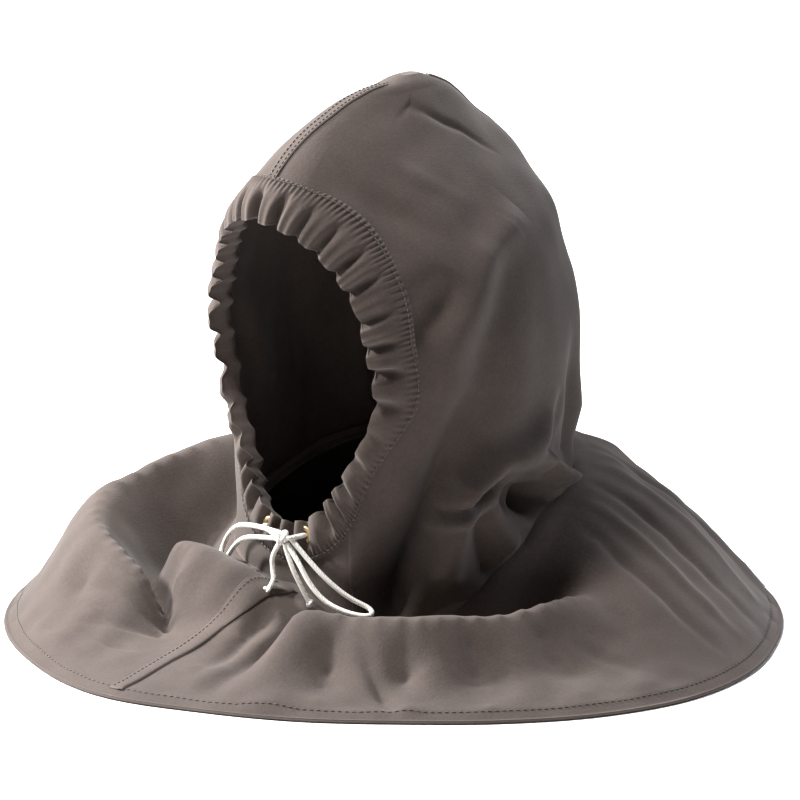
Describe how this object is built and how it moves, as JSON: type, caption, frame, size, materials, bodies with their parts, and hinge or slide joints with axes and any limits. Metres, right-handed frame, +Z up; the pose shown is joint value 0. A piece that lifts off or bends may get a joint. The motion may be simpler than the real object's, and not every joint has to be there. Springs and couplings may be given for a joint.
{
  "type": "smoke hood",
  "caption": "Cloth cape hood with a pointed crown, a drawstring face opening tied in a bow under the chin, and a wide shoulder cape with a stitched hem.",
  "frame": {"origin": "centre of the hem's circle, on the surface that the cape rests on", "axes": "+Z up, the face opening looks along -Y, +X is the wearer's left"},
  "size_m": [0.4658, 0.466, 0.336],
  "materials": {
    "cloth": "taupe brown cotton twill, matt",
    "tape": "woven cotton tape",
    "thread": "sewing thread",
    "cord": "white braided cotton cord",
    "brass": "dull brass"
  },
  "bodies": {
    "hood": {"hood_panel_left": "cloth", "hood_panel_right": "cloth", "chin_panel": "cloth", "crown_seam_fell": "cloth", "cape_left": "cloth", "cape_right": "cloth", "front_seam_fell": "cloth", "back_seam_fell": "cloth", "hem_band_left": "cloth", "hem_band_right": "cloth", "face_casing_left": "cloth", "face_casing_right": "cloth", "neck_seam_tape": "tape", "crown_seam_stitching": "thread", "neck_seam_stitching": "thread", "front_seam_stitching": "thread", "back_seam_stitching": "thread", "hem_stitching": "thread", "face_casing_stitching": "thread", "eyelet_left": "brass", "eyelet_right": "brass", "eyelet_washer_left": "brass", "eyelet_washer_right": "brass", "drawcord_in_casing": "cord"},
    "bow": {"cord_lead_left": "cord", "cord_lead_right": "cord", "bow_knot": "cord", "bow_loop_left": "cord", "bow_loop_right": "cord", "cord_end_left": "cord", "cord_end_right": "cord", "end_knot_left": "cord", "end_knot_right": "cord"}
  },
  "joints": [
    {"name": "cord_pull", "type": "slide", "parent": "hood", "child": "bow", "axis": [0, -1, 0], "range_m": [0, 0.02], "deforming": ["cord_lead_left", "cord_lead_right"]}
  ]
}
